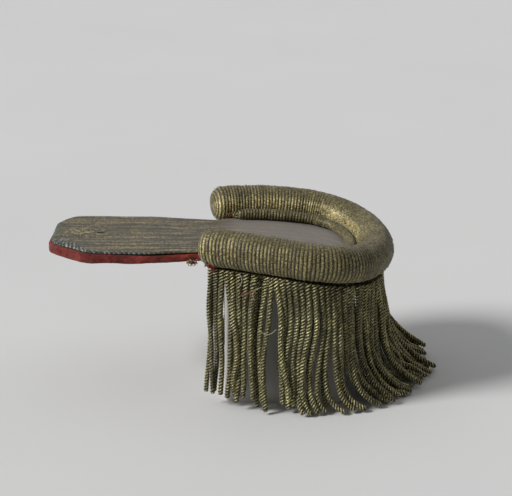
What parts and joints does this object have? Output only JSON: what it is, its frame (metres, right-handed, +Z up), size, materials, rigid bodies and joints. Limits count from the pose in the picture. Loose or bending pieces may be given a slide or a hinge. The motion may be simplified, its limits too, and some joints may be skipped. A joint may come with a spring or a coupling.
{
  "type": "fringed shoulder epaulette on a plain support block",
  "caption": "Shoulder epaulette with a lace-covered strap, a wound padded crescent and a hanging cord fringe, set on a plain block.",
  "frame": {"origin": "centre of the support block's foot, on the surface that it stands on", "axes": "+X along the strap from its collar end to the toe of the crescent, +Z up"},
  "size_m": [0.18, 0.1017, 0.0867],
  "materials": {
    "lace": "tarnished woven metal thread",
    "red_cloth": "fulled wool cloth",
    "wound_cord": "tarnished metal cord, wound",
    "twisted_cord": "tarnished metal cord, twisted",
    "grey_block": "matt grey"
  },
  "bodies": {
    "root": {"strap_lace": "lace", "cloth_backing": "red_cloth", "crescent_roll": "wound_cord", "inner_roll": "wound_cord", "fringe": "twisted_cord", "support_block": "grey_block"}
  },
  "joints": []
}
